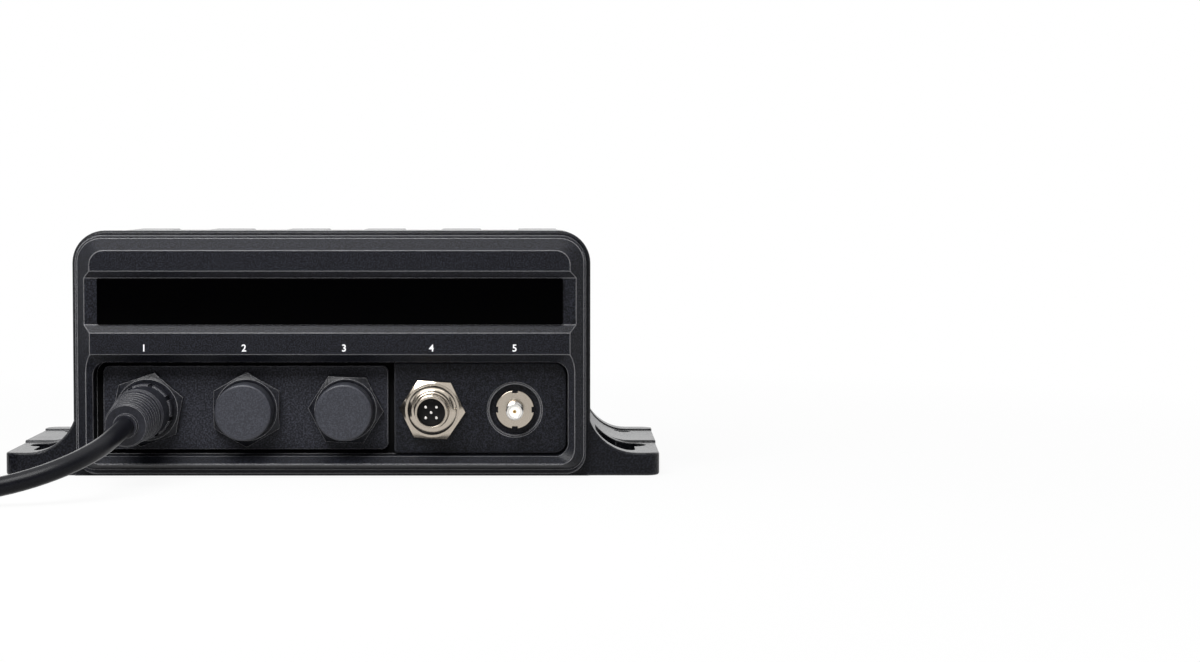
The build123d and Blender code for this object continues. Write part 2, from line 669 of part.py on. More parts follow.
def lead_connector_nut():
    return along_x((9.6, 7.6), (9.6, 8.6), (10.2, 9.2), (15.4, 9.2), (15.9, 8.8), (15.9, 7.6))


# ---------------------------------------------------------------- network and aerial sockets
def network_socket():
    """Five-pin socket: hexagon, two turned steps and a thin threaded mouth."""
    nut = hex_nut(
        NETWORK_X, SOCKET_Z, NETWORK_NUT_FRONT, NETWORK_PLATE_FRONT, NETWORK_FLATS, 5.03, -4.0
    )
    shell = turned(
        NETWORK_X, SOCKET_Z,
        (NETWORK_MOUTH, 5.03), (NETWORK_MOUTH, 5.7), (NETWORK_MOUTH + 0.4, 6.0), (2.6, 6.0),
        (2.6, 7.2), (4.4, 7.2), (4.4, 9.0), (NETWORK_NUT_FRONT, 9.0), (NETWORK_NUT_FRONT + 1, 8.0),
        (20.0, 8.0), (20.0, 5.03),
    )
    return nut + shell


def network_insert():
    """Insulator, set back in the mouth, with a key on its wall."""
    face = -2.0
    insert = turned(NETWORK_X, SOCKET_Z, (face, 0), (face, 5.03), (20.0, 5.03), (20.0, 0))
    key = block(NETWORK_X - 0.6, NETWORK_X + 0.6, face - 2.6, face, SOCKET_Z + 4.0, SOCKET_Z + 4.95)
    return insert + key


def network_pins():
    return contact_pins(
        NETWORK_X, SOCKET_Z, PIN_CIRCLE, 4, 45, [(-4.6, -2.0), (20.0, JACK_BOARD)]
    )


def gps_ring_nut():
    """Round nut with four notches for a pin wrench."""
    near, far = GPS_RING_FRONT, NETWORK_PLATE_FRONT + GPS_WELL_DEPTH
    nut = tube(GPS_X, SOCKET_Z, near, far, GPS_RING, GPS_SHANK)
    nut = chamfer(nut.edges().filter_by(GeomType.CIRCLE).sort_by(Axis.Y)[:1], 0.3)
    for quarter in range(4):
        angle = math.radians(90 * quarter)
        x = GPS_X + GPS_RING * math.cos(angle)
        z = SOCKET_Z + GPS_RING * math.sin(angle)
        nut -= block(x - 1.05, x + 1.05, near, far, z - 1.05, z + 1.05)
    return nut


def gps_socket():
    """Threaded coaxial socket, held from behind by its flange."""
    return turned(
        GPS_X, SOCKET_Z,
        (GPS_TIP, 2.1), (GPS_TIP, 2.8), (GPS_TIP + 0.4, GPS_THREAD), (GPS_RING_FRONT, GPS_THREAD),
        (GPS_RING_FRONT, GPS_SHANK), (TUB_BACK, GPS_SHANK), (TUB_BACK, 6.0), (TUB_BACK + 2.0, 6.0),
        (TUB_BACK + 2.0, GPS_SHANK), (20.0, GPS_SHANK), (20.0, 2.1),
    )


def gps_insulator():
    return turned(
        GPS_X, SOCKET_Z,
        (GPS_TIP + 0.3, 0.65), (GPS_TIP + 0.3, 2.1), (20.0, 2.1), (20.0, 0.65),
    )


def gps_contact():
    return turned(
        GPS_X, SOCKET_Z,
        (GPS_TIP + 0.3, 0.4), (GPS_TIP + 0.3, 0.65), (JACK_BOARD, 0.65), (JACK_BOARD, 0), (3.0, 0),
        (3.0, 0.4),
    )


# ---------------------------------------------------------------- rear
def antenna_screw_places():
    half = 9.1
    return [(ANTENNA_X + side, ANTENNA_Z + rise) for side in (-half, half) for rise in (-half, half)]


def antenna_socket():
    """Flanged coaxial socket with a 15.9 mm threaded barrel."""
    seat = CHASSIS_BACK + 1
    flange = slab(Pos(ANTENNA_X, ANTENNA_Z) * RectangleRounded(25.4, 25.4, 2.5), seat, seat + 3)
    flange -= rod(ANTENNA_X, ANTENNA_Z, seat, seat + 3, 6.2)
    barrel = turned(
        ANTENNA_X, ANTENNA_Z,
        (seat + 3, 6.2), (seat + 3, 7.95), (CHASSIS_BACK + ANTENNA_PROUD - 0.6, 7.95),
        (CHASSIS_BACK + ANTENNA_PROUD, 7.4), (CHASSIS_BACK + ANTENNA_PROUD, 6.2),
    )
    socket = flange + barrel
    for x, z in antenna_screw_places():
        socket -= rod(x, z, seat, seat + 3, 1.6)
    return socket


def antenna_insulator():
    return tube(ANTENNA_X, ANTENNA_Z, CHASSIS_BACK - 8, CHASSIS_BACK + 12.5, 6.2, 2.7)


def antenna_contact():
    return turned(
        ANTENNA_X, ANTENNA_Z,
        (CHASSIS_BACK - 12, 0), (CHASSIS_BACK - 12, 2.7), (CHASSIS_BACK + 14, 2.7),
        (CHASSIS_BACK + 14, 2.0), (CHASSIS_BACK + 2, 2.0), (CHASSIS_BACK + 2, 0),
    )


def antenna_screws():
    seat = CHASSIS_BACK + 4
    screws = []
    for x, z in antenna_screw_places():
        screws.append(turned(
            x, z, (CHASSIS_BACK - WALL, 0), (CHASSIS_BACK - WALL, 1.5), (seat, 1.5), (seat, 2.7),
            (seat + 1.2, 2.7), (seat + 1.8, 2.0), (seat + 1.8, 0),
        ))
    return screws


def lead_gland(x):
    """Body of a cable gland: flange outside the rear wall, thread through it."""
    seat = CHASSIS_BACK
    hexagon = hex_nut(x, GLAND_Z, seat, seat + 4, 20.0, GLAND_BORE, 30.0)
    thread = tube(x, GLAND_Z, seat - WALL, seat, GLAND_THREAD, GLAND_BORE)
    stub = tube(x, GLAND_Z, seat + 4, seat + 8, 7.2, GLAND_BORE)
    return thread + hexagon + stub


def lead_gland_seal(x):
    seat = CHASSIS_BACK + 8
    return tube(x, GLAND_Z, seat, seat + 4, 6.2, GLAND_BORE)


def lead_gland_nut(x):
    """Dome nut that squeezes the seal, with eight grip flats."""
    seat = CHASSIS_BACK + 4.3
    dome = turned(
        x, GLAND_Z,
        (seat, 7.25), (seat, 9.6), (seat + 6, 9.6), (seat + 9.5, 7.4), (seat + 10.2, 5.6),
        (seat + 10.2, GLAND_BORE + 0.3), (seat + 7.9, GLAND_BORE + 0.3), (seat + 7.9, 6.3),
        (seat + 3.8, 6.3), (seat + 3.8, 7.25),
    )
    flats = slab(Pos(x, GLAND_Z) * RegularPolygon(9.2, 8, major_radius=False), seat, seat + 11)
    return dome & flats


def earth_screw():
    seat = CHASSIS_BACK + 2
    head = turned(
        EARTH_X, EARTH_Z, (seat, 0), (seat, 4.0), (seat + 2.2, 4.0), (seat + 3.0, 3.0),
        (seat + 3.0, 0),
    )
    head -= block(EARTH_X - 5, EARTH_X + 5, seat + 1.8, seat + 3, EARTH_Z - 0.6, EARTH_Z + 0.6)
    return head + rod(EARTH_X, EARTH_Z, CHASSIS_BACK - 2.6, seat, 2.0)


def earth_washer():
    return tube(EARTH_X, EARTH_Z, CHASSIS_BACK + 1, CHASSIS_BACK + 2, 5.0, 2.0)


def case_screws():
    """Four long screws; each head stands on the rear wall."""
    screws = []
    for side in (-1, 1):
        for level, z in CASE_SCREW_Z.items():
            x = side * CASE_SCREW_X
            seat = CHASSIS_BACK
            screw = turned(
                x, z, (CASE_SCREW_NEAR[level], 0), (CASE_SCREW_NEAR[level], SCREW_RADIUS),
                (seat, SCREW_RADIUS), (seat, 3.8), (seat + 1.9, 3.8), (seat + 2.6, 2.8),
                (seat + 2.6, 0),
            )
            for turn in (0, 90):
                slot = Pos(x, z) * Rot(0, 0, turn) * Rectangle(4.4, 0.9)
                screw -= slab(slot, seat + 1.0, seat + 3)
            screws.append(screw)
    return screws


# ---------------------------------------------------------------- inside
def jack_board():
    """Upright board behind the sockets."""
    return block(-78, 78, JACK_BOARD, JACK_BOARD + BOARD_THICK, 8, 46)


def main_board():
    board = block(-BOARD_HALF, BOARD_HALF, BOARD_NEAR, BOARD_FAR, BOARD_Z, BOARD_Z + BOARD_THICK)
    for depth in POST_DEPTHS:
        board -= both_sides(post(POST_X, depth, BOARD_Z, BOARD_Z + BOARD_THICK, 1.6))
    return board


def board_screws():
    top = BOARD_Z + BOARD_THICK
    screws = []
    for side in (-1, 1):
        for depth in POST_DEPTHS:
            shaft = post(side * POST_X, depth, BOARD_Z - 7, top, 1.5)
            head = post(side * POST_X, depth, top, top + 2, 2.75)
            screws.append(shaft + head)
    return screws


def board_link():
    """Plug strip that joins the two boards."""
    near = JACK_BOARD + BOARD_THICK
    header = block(-24, 24, near, near + 8, 17.6, 24.0)
    foot_strip = block(-24, 24, near + 3.4, near + 8, BOARD_Z + BOARD_THICK, 17.6)
    return header + foot_strip


def shield_can():
    """Folded tin box over the receiver, open below."""
    low = BOARD_Z + BOARD_THICK
    outer = block(-66, -14, 40, 84, low, low + 12)
    return outer - block(-65.5, -14.5, 40.5, 83.5, low, low + 11.5)


def output_filter_can():
    low = BOARD_Z + BOARD_THICK
    outer = block(-8, 24, 66, 92, low, low + 16)
    return outer - block(-7.5, 23.5, 66.5, 91.5, low, low + 15.5)


def antenna_relay():
    low = BOARD_Z + BOARD_THICK
    return block(-9, 7, 44, 56, low, low + 11)


def gps_module():
    low = BOARD_Z + BOARD_THICK
    can = block(34, 50, 32, 48, low, low + 3)
    return chamfer(can.faces().sort_by(Axis.Z)[-1].edges(), 0.3)


def heat_spreader():
    """Aluminium bar that carries the amplifier's heat into the rear wall."""
    bar = block(30, 76, 84, CHASSIS_BACK - WALL, 42, 60)
    return bar + block(30, 76, 78, 84, 42, 48)


def final_amplifier():
    """Power module on the spreader's ledge."""
    return block(34, 72, 78, 84, 48, 56)


# ---------------------------------------------------------------- write the pieces
def write(name, *solids):
    shape = solids[0] if len(solids) == 1 else Compound(children=list(solids))
    export_step(shape, f"parts/{name}.step")


write("chassis", chassis())
write("panel_gasket", gasket_ring())
write("front_panel", front_panel())
write("name_strip", name_strip())
write("handset_plate", handset_plate())
write("network_plate", network_plate())

for number, (centre_x, nut_turn) in enumerate(zip(HANDSET_X, NUT_TURNS), start=1):
    write(f"handset_socket_{number}", handset_socket(centre_x))
    write(f"handset_insert_{number}", handset_insert(centre_x))
    write(f"handset_nut_{number}", handset_nut(centre_x, nut_turn))
    if number > 1:
        write(f"socket_cap_{number}", socket_cap(centre_x))
        write(f"cap_seal_{number}", cap_seal(centre_x))
write("handset_pins", *handset_pins())

write("plug_ring", plug_ring())
write("plug_body", plug_body())
write("plug_boot", plug_boot())
write("handset_cord", handset_cord())
write("cord_tail", cord_tail())
write("cord_coil", cord_coil())
write("coil_tie", coil_tie())
write("lead_connector", lead_connector())
write("lead_connector_nut", lead_connector_nut())

write("network_socket", network_socket())
write("network_insert", network_insert())
write("network_pins", *network_pins())
write("gps_ring_nut", gps_ring_nut())
write("gps_socket", gps_socket())
write("gps_insulator", gps_insulator())
write("gps_contact", gps_contact())

write("antenna_socket", antenna_socket())
write("antenna_insulator", antenna_insulator())
write("antenna_contact", antenna_contact())
write("antenna_screws", *antenna_screws())
for lead, gland_x in zip(("power", "data"), GLAND_X):
    write(f"{lead}_gland", lead_gland(gland_x))
    write(f"{lead}_gland_seal", lead_gland_seal(gland_x))
    write(f"{lead}_gland_nut", lead_gland_nut(gland_x))
write("earth_screw", earth_screw())
write("earth_washer", earth_washer())
write("case_screws", *case_screws())

write("jack_board", jack_board())
write("main_board", main_board())
write("board_screws", *board_screws())
write("board_link", board_link())
write("shield_can", shield_can())
write("output_filter_can", output_filter_can())
write("antenna_relay", antenna_relay())
write("gps_module", gps_module())
write("heat_spreader", heat_spreader())
write("final_amplifier", final_amplifier())
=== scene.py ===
# %% [markdown]
# # A marine VHF transceiver in Blender
# The radio is a black die-cast box with two screw-down feet and a moulded front full of round
# sockets. Its working parts were modelled in CAD and arrive here at their real size, so this
# lesson is about what the eye needs: light, finishes, the lead, and the fine turned parts that
# a CAD model leaves plain. Everything is in metres, in the frame of the CAD model.

# %% Load the CAD model
import math

import bmesh
import bpy
from mathutils import Matrix, Vector

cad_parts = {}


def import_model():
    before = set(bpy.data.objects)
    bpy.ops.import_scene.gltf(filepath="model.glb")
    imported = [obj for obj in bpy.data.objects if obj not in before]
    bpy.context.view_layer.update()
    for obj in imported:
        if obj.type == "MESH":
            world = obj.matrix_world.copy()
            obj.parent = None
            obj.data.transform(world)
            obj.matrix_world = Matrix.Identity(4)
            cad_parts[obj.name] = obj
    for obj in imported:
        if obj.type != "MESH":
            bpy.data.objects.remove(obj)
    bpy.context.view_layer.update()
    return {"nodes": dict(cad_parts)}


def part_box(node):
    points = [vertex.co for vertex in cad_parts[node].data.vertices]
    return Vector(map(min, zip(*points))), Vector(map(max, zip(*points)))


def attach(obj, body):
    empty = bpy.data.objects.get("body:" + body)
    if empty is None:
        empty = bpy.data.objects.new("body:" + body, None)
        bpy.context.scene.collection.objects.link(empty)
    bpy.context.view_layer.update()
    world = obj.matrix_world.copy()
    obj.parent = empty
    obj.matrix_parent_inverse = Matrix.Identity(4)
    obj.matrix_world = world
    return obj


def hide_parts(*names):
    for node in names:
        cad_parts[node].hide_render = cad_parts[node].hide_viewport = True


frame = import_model()
nodes = frame["nodes"]

# %% [markdown]
# ## Places that the other cells share
# The plateau is the foremost flat face of the moulded front. Depths are measured from it, and
# what stands in front of it has a minus depth. The sockets' axes come from the boxes of the CAD
# nodes, because a number copied by hand would go stale when the CAD model changes.

# %% Millimetres, the plateau and the sockets' axes
MM = 0.001
PLATEAU_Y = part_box("front_panel")[0].y


def axis_of(node):
    """X and Z of the axis of a turned node, from its box."""
    low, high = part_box(node)
    return (low.x + high.x) / 2, (low.z + high.z) / 2


def at_depth(depth_mm):
    """Y of a depth behind the plateau."""
    return PLATEAU_Y + depth_mm * MM


# %% Axes of the sockets
plug_x, socket_z = axis_of("handset_insert_1")
network_x = axis_of("network_pins")[0]
aerial_x = axis_of("gps_contact")[0]
print("plug axis at X", round(plug_x, 4), "Z", round(socket_z, 4))

# %% [markdown]
# ## Camera
# The radio is seen from a metre away with a short telephoto lens, a little above its top and a
# little to the right of its middle, so the feet and the right side of each nut show. The camera
# could be turned to put the radio left of the middle, but then the level edges of its flat front
# would converge. A sideways shift of the lens keeps them parallel.

# %% Camera
CAMERA_PLACE = (0.0799, -1.08445, 0.10796)
LOOK_DOWN = 3.025  # degrees below the horizon
FOCAL_LENGTH, FRAME_WIDTH = 84.95, 36.0  # millimetres
SIDE_SHIFT = 0.0421  # in frame widths: the radio stands to the left of the middle

camera_data = bpy.data.cameras.new("camera")
camera_data.lens = FOCAL_LENGTH
camera_data.sensor_width = FRAME_WIDTH
camera_data.shift_x = SIDE_SHIFT
camera_data.clip_start = 0.05
camera = bpy.data.objects.new("camera", camera_data)
camera.location = CAMERA_PLACE
camera.rotation_euler = (math.radians(90 - LOOK_DOWN), 0, 0)
bpy.context.scene.collection.objects.link(camera)
bpy.context.scene.camera = camera
bpy.context.scene.view_settings.view_transform = "Standard"
print("camera is", round(PLATEAU_Y - CAMERA_PLACE[1], 3), "m in front of the plateau")

# %% [markdown]
# ## Floor, background and light
# Black plastic shows its shape only by what it reflects, so the light is made of large soft
# surfaces: a white world, a wide soft box overhead, a low one behind that glances along every
# upper face, and a small one close to the upper left corner, which shades the front from left
# to right. Dark cards in front and at the sides keep the front deep black and draw dark bands
# in the plated metal. Where a ray comes from the camera, a mirror or glass, the world is plain
# white; the rays that light rough surfaces find a dimmer one, so nothing is overlit.

# %% Helpers for the world and the studio's surfaces
def new_tree(owner):
    """Empty node tree of a world or a material."""
    owner.use_nodes = True
    owner.node_tree.nodes.clear()
    return owner.node_tree


def seen_directly(tree):
    """1 for rays from the camera, a reflection or glass, else 0."""
    path = tree.nodes.new("ShaderNodeLightPath")
    total = path.outputs["Is Camera Ray"]
    for name in ("Is Glossy Ray", "Is Transmission Ray"):
        add = tree.nodes.new("ShaderNodeMath")
        add.operation = "MAXIMUM"
        tree.links.new(total, add.inputs[0])
        tree.links.new(path.outputs[name], add.inputs[1])
        total = add.outputs[0]
    return total


# %% World
WORLD_FILL = 0.55  # strength for the rays that light rough surfaces; the others find 1

world = bpy.data.worlds.new("studio")
bpy.context.scene.world = world
tree = new_tree(world)
strength = tree.nodes.new("ShaderNodeMapRange")
strength.inputs["To Min"].default_value = WORLD_FILL
strength.inputs["To Max"].default_value = 1.0
background = tree.nodes.new("ShaderNodeBackground")
background.inputs["Color"].default_value = (1.0, 1.0, 1.0, 1.0)
output = tree.nodes.new("ShaderNodeOutputWorld")
tree.links.new(seen_directly(tree), strength.inputs["Value"])
tree.links.new(strength.outputs[0], background.inputs["Strength"])
tree.links.new(background.outputs[0], output.inputs["Surface"])
print("world:", WORLD_FILL, "for the light, 1 where it is seen")

# %% [markdown]
# ### Floor
# The radio stands on a pale surface that runs into a white background. A shadow catcher would
# leave a see-through render to be laid over white later, so one material does both jobs here. It
# mixes a plain diffuse surface, which takes the soft shadow, with plain white. Beside the radio a
# little of the diffuse one is seen, and with the distance it fades out.

# %% A flat rectangle of the studio
def flat_piece(name, width, height, place):
    """A flat rectangle that is part of the studio: place carries it from the XY plane."""
    form = bmesh.new()
    bmesh.ops.create_grid(form, x_segments=1, y_segments=1, size=0.5)
    bmesh.ops.scale(form, vec=(width, height, 1), verts=form.verts)
    bmesh.ops.transform(form, matrix=place, verts=form.verts)
    mesh = bpy.data.meshes.new(name)
    form.to_mesh(mesh)
    form.free()
    piece = bpy.data.objects.new(name, mesh)
    bpy.context.scene.collection.objects.link(piece)
    return piece


# %% Floor paint
FLOOR_GREY = 0.55
SHADOW_NEAR, SHADOW_FAR = 0.15, 0.55  # the floor turns plain white between these distances
WHITE_NEAR = 0.92  # share of plain white in the floor that the camera sees beside the radio


def floor_material():
    """Pale floor: it keeps a soft shadow beside the radio, and is plain white further off."""
    floor_paint = bpy.data.materials.new("floor_paint")
    tree = new_tree(floor_paint)
    add, link = tree.nodes.new, tree.links.new
    diffuse = add("ShaderNodeBsdfDiffuse")
    diffuse.inputs["Color"].default_value = (FLOOR_GREY, FLOOR_GREY, FLOOR_GREY, 1.0)
    white = add("ShaderNodeEmission")
    distance = add("ShaderNodeVectorMath")
    distance.operation = "LENGTH"
    link(add("ShaderNodeTexCoord").outputs["Object"], distance.inputs[0])
    share = add("ShaderNodeMapRange")
    for socket, value in (("From Min", SHADOW_NEAR), ("From Max", SHADOW_FAR),
                          ("To Min", WHITE_NEAR), ("To Max", 1.0)):
        share.inputs[socket].default_value = value
    link(distance.outputs["Value"], share.inputs["Value"])
    seen_share = add("ShaderNodeMath")
    seen_share.operation = "MULTIPLY"
    link(seen_directly(tree), seen_share.inputs[0])
    link(share.outputs[0], seen_share.inputs[1])
    mix = add("ShaderNodeMixShader")
    link(seen_share.outputs[0], mix.inputs["Fac"])
    link(diffuse.outputs[0], mix.inputs[1])
    link(white.outputs[0], mix.inputs[2])
    link(mix.outputs[0], add("ShaderNodeOutputMaterial").inputs["Surface"])
    return floor_paint


# %% Floor
FLOOR_DROP = -0.0002  # just under the feet, so that the two surfaces never share a plane
FLOOR_SIZE, FLOOR_MIDDLE_Y = 8.0, 3.0  # most of it lies behind the radio

floor = flat_piece("floor", FLOOR_SIZE, FLOOR_SIZE,
                   Matrix.Translation((0, FLOOR_MIDDLE_Y, FLOOR_DROP)))
floor.data.materials.append(floor_material())
print("floor", floor.dimensions.x, "m wide")

# %% [markdown]
# ### Dark cards
# In a studio, black cards stand round a shiny product to draw dark bands in it. A darker world
# would do that too, but everywhere at once. One large card behind the camera keeps the front of
# the radio deep black, because that is what its flat faces mirror. Two smaller ones darken the
# sides of the round metal parts. The camera itself doesn't see them.

# %% Dark cards
CARD_LEVEL = 0.06  # a card gives off this much light, so it is dark grey rather than a hole


def card_material():
    """An even dark grey that gives off a little light of its own."""
    card_paint = bpy.data.materials.new("card_paint")
    tree = new_tree(card_paint)
    grey = tree.nodes.new("ShaderNodeEmission")
    grey.inputs["Strength"].default_value = CARD_LEVEL
    output = tree.nodes.new("ShaderNodeOutputMaterial")
    tree.links.new(grey.outputs[0], output.inputs["Surface"])
    return card_paint


def dark_card(name, width, height, middle, turn):
    """An upright card, unseen by the camera; turn is its heading in degrees."""
    upright = Matrix.Rotation(math.radians(turn), 4, "Z") @ Matrix.Rotation(math.pi / 2, 4, "X")
    card = flat_piece(name, width, height, Matrix.Translation(middle) @ upright)
    card.data.materials.append(card_paint)
    card.visible_camera = False
    return card


card_paint = card_material()
dark_card("front_card", 3.2, 2.2, (0.0, -2.2, 0.2), 0)
dark_card("left_card", 0.9, 0.8, (-0.95, -0.7, 0.3), 60)
dark_card("right_card", 0.9, 0.8, (1.05, -0.7, 0.3), -60)
print("cards give off", CARD_LEVEL)

# %% [markdown]
# ### Soft boxes
# Each soft box has one job. The overhead one lights what faces up. The one behind is low, so it
# glances along the top of the flange and of the feet. The small one in the corner is close, so
# its light falls off from the left of the front to the right.

# %% Soft boxes
def soft_box(name, width, height, watts, place, tilt):
    """A rectangular area lamp; tilt is how far it is turned about X from facing down."""
    lamp = bpy.data.lights.new(name, "AREA")
    lamp.shape = "RECTANGLE"
    lamp.size, lamp.size_y = width, height
    lamp.energy = watts
    box = bpy.data.objects.new(name, lamp)
    box.location = place
    box.rotation_euler = (math.radians(tilt), 0, 0)
    box.visible_camera = False
    bpy.context.scene.collection.objects.link(box)


soft_box("overhead", 1.5, 1.0, 6.0, (0.0, -0.1, 1.1), 0)
soft_box("behind", 2.4, 0.9, 8.5, (0.0, 1.7, 0.75), -72)
soft_box("corner", 0.35, 0.25, 4.0, (-0.13, -0.40, 0.42), 50)
print(len(bpy.data.lights), "soft boxes")

# %% [markdown]
# ## The handset lead
# The lead is a black PVC cord of 6.6 mm. It leaves the plug's rubber boot, bends down to the left
# and lies on the surface; the rest of its five metres is wound into a coil beside the radio.
# One NURBS curve follows the whole route: the points of the free stretches are given one by one,
# and a loop winds the coil, layer on layer, with the steps and climbs that a wound cord has. A
# NURBS line of order three rounds every corner between its points, so it needs no fillets.

# %% Free stretches of the lead
LEAD = 6.6 * MM  # its diameter
COIL_CENTRE = Vector((-177.0 * MM, at_depth(-27.3), 0.0))


def before(x, distance, z):
    """A point of the lead, at a distance in front of the plateau, all in millimetres."""
    return Vector((x * MM, at_depth(-distance), z * MM))


def on_coil(u, v, z):
    """A point of the lead from the middle of the coil, in millimetres."""
    return COIL_CENTRE + Vector((u, v, z)) * MM


lead_exit = before(-68.4, 42.01, 22.41)
lead_points = [
    lead_exit,
    before(-69.3, 57.4, 20.6),
    before(-73.0, 71.8, 17.1),
    before(-82.4, 82.6, 12.4),
    before(-95.8, 88.6, 8.0),
    before(-111.2, 89.6, 4.8),
    before(-129.0, 87.2, 3.6),
    before(-150.0, 84.2, 3.5),
    before(-170.5, 81.8, 4.1),
]
tail_points = [
    on_coil(-53.2, -6.4, 24.0),
    on_coil(-53.2, 6.2, 26.6),
    on_coil(-49.6, 18.2, 29.6),
    on_coil(-42.6, 28.2, 32.4),
    on_coil(-32.6, 35.6, 34.8),
    on_coil(-21.2, 39.3, 36.2),
    on_coil(-10.0, 39.6, 36.6),
]
print(len(lead_points), "points before the coil,", len(tail_points), "after it")

# %% [markdown]
# ### The put-away coil
# The coil is wound in columns and layers. The even layers run inwards and the odd ones outwards,
# so the cord never jumps. It steps to the next column in the last part of each turn, and climbs
# to the next layer at the end of a layer, in a smooth rise. A loop works this out, because the
# coil needs hundreds of points.

# %% Winding rules
COLUMNS = 5
MID_TURN = 12.25 * LEAD / 2  # radius of the middle column
TIE = 0.8 * MM  # the coil lies on the strap that ties it
POINTS_PER_TURN = 24
FULL_TURNS = 3 * COLUMNS + 4
LAST_TURNS = 0.19  # how much of the fifth turn in the top layer is wound
STEP_PART, CLIMB_PART = (0.86, 1.0), (0.70, 0.86)  # where in a turn the cord steps or climbs


def ease(value, start, end):
    """0 before start, 1 after end, and a smooth rise between them."""
    part = min(max((value - start) / (end - start), 0.0), 1.0)
    return part * part * (3 - 2 * part)


def column_of(turn):
    """Column of a turn: even layers are wound inwards, odd ones outwards."""
    layer, place = divmod(turn, COLUMNS)
    return COLUMNS - 1 - place if layer % 2 == 0 else place


def coil_point(turns):
    """Where the cord is after so many turns from the front of the coil, clockwise from above."""
    turn = int(turns)
    part = turns - turn
    layer, place = divmod(turn, COLUMNS)
    column, height = float(column_of(turn)), float(layer)
    if place < COLUMNS - 1:
        column += (column_of(turn + 1) - column) * ease(part, *STEP_PART)
    else:
        height += ease(part, *CLIMB_PART)
    inside_cut = 1 / math.cos(math.pi / POINTS_PER_TURN)  # the curve runs inside its points
    radius = (MID_TURN + (column - (COLUMNS - 1) / 2) * LEAD) * inside_cut
    angle = -math.pi / 2 - 2 * math.pi * turns
    level = TIE + LEAD / 2 + height * LEAD
    return COIL_CENTRE + Vector((radius * math.cos(angle), radius * math.sin(angle), level))


# %% The whole route
last_step = int((FULL_TURNS + LAST_TURNS) * POINTS_PER_TURN)
coil_points = [coil_point(step / POINTS_PER_TURN) for step in range(1, last_step + 1)]
route = lead_points + coil_points + tail_points
print("lead route:", len(route), "points,", len(coil_points), "of them in the coil")

# %% [markdown]
# ### The lead as one curve
# A curve with a round bevel is a cord already: its line, thickness and length stay easy to
# change. A swept mesh would look the same, but its length could no longer be read from it.

# %% A cord along a line of points
def nurbs_curve(name, points, radius):
    """A round cord along a smooth NURBS line of order three.

    The thickness is the bevel depth times each point's own radius. Blender pads the box of a
    curve by that radius, so it is the cord's, and the bevel depth is one.
    """
    curve = bpy.data.curves.new(name, "CURVE")
    curve.dimensions = "3D"
    curve.bevel_depth = 1.0
    curve.bevel_resolution = 4
    curve.resolution_u = 4
    curve.use_fill_caps = True
    spline = curve.splines.new("NURBS")
    spline.points.add(len(points) - 1)
    for point, place in zip(spline.points, points):
        point.co = (*place, 1.0)
        point.radius = radius
    spline.order_u = 3
    spline.use_endpoint_u = True
    cord = bpy.data.objects.new(name, curve)
    bpy.context.scene.collection.objects.link(cord)
    return cord


# %% The handset lead
handset_lead = nurbs_curve("handset_lead", route, LEAD / 2)
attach(handset_lead, "unit")
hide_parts("handset_cord", "cord_tail", "cord_coil")
print("lead:", round(LEAD / MM, 1), "mm thick")

# %% [markdown]
# ## Finishes
# Each finish is a small node tree on object coordinates, so a pattern keeps its real size and
# stays on the piece. Three things make black parts look real: a grain fine enough to sparkle a
# little, a roughness that isn't quite even, and edges that are rounded enough to catch the light.
# The Bevel node rounds the edges in the shading, because the CAD meshes stay as they are, and
# a painted highlight makes the edges of most black parts lighter.

# %% Small node helpers
def map_range(tree, value, from_min, from_max, to_min, to_max):
    """A value moved from one range to another."""
    node = tree.nodes.new("ShaderNodeMapRange")
    for socket, bound in (("From Min", from_min), ("From Max", from_max), ("To Min", to_min),
                          ("To Max", to_max)):
        node.inputs[socket].default_value = bound
    tree.links.new(value, node.inputs["Value"])
    return node.outputs["Result"]


def noise(tree, place, size_mm):
    """Noise with lumps of about this size."""
    texture = tree.nodes.new("ShaderNodeTexNoise")
    texture.inputs["Scale"].default_value = 1000 / size_mm
    texture.inputs["Detail"].default_value = 2.0
    tree.links.new(place, texture.inputs["Vector"])
    return texture.outputs["Fac"]


def mixed(tree, kind, factor, value, end):
    """A value that turns into a fixed end as the factor rises; kind is RGBA or FLOAT."""
    mix = tree.nodes.new("ShaderNodeMix")
    mix.data_type = kind
    tree.links.new(factor, mix.inputs["Factor"])
    tree.links.new(value, mix.inputs["A"])
    mix.inputs["B"].default_value = end
    return mix.outputs["Result"]


# %% [markdown]
# ### Painted edge highlights and painted shade in the depths
# The edges of the black parts are painted a lighter grey, a painted highlight for the light that
# their rounding catches. The mesh's own Pointiness could find the edges, but only on a dense
# mesh. Here the rounded normal is compared with the true one, and where they differ there is an
# edge. Deep places are the other way round: a painted shade fades the finish to a dull black.

# %% Painted edge highlights
EDGE_NONE, EDGE_FULL = 0.990, 0.955  # cosine between the rounded and the true normal
HIGHLIGHT_TINT = 1.04  # the painted edge highlight is this much bluer than grey


def rubbed(tree, rounded, shade, edge):
    """A shade with a painted highlight: lighter grey where the rounded normal leaves the true one."""
    add, link = tree.nodes.new, tree.links.new
    likeness = add("ShaderNodeVectorMath")
    likeness.operation = "DOT_PRODUCT"
    link(rounded, likeness.inputs[0])
    link(add("ShaderNodeNewGeometry").outputs["Normal"], likeness.inputs[1])
    amount = map_range(tree, likeness.outputs["Value"], EDGE_FULL, EDGE_NONE, 1.0, 0.0)
    return mixed(tree, "RGBA", amount, shade, (edge, edge, edge * HIGHLIGHT_TINT, 1.0))


# %% Painted shade in the depths
# the black of the painted shade deep in a recess
DEPTH_SHADE_BLACK = (0.0008, 0.0008, 0.0010, 1.0)


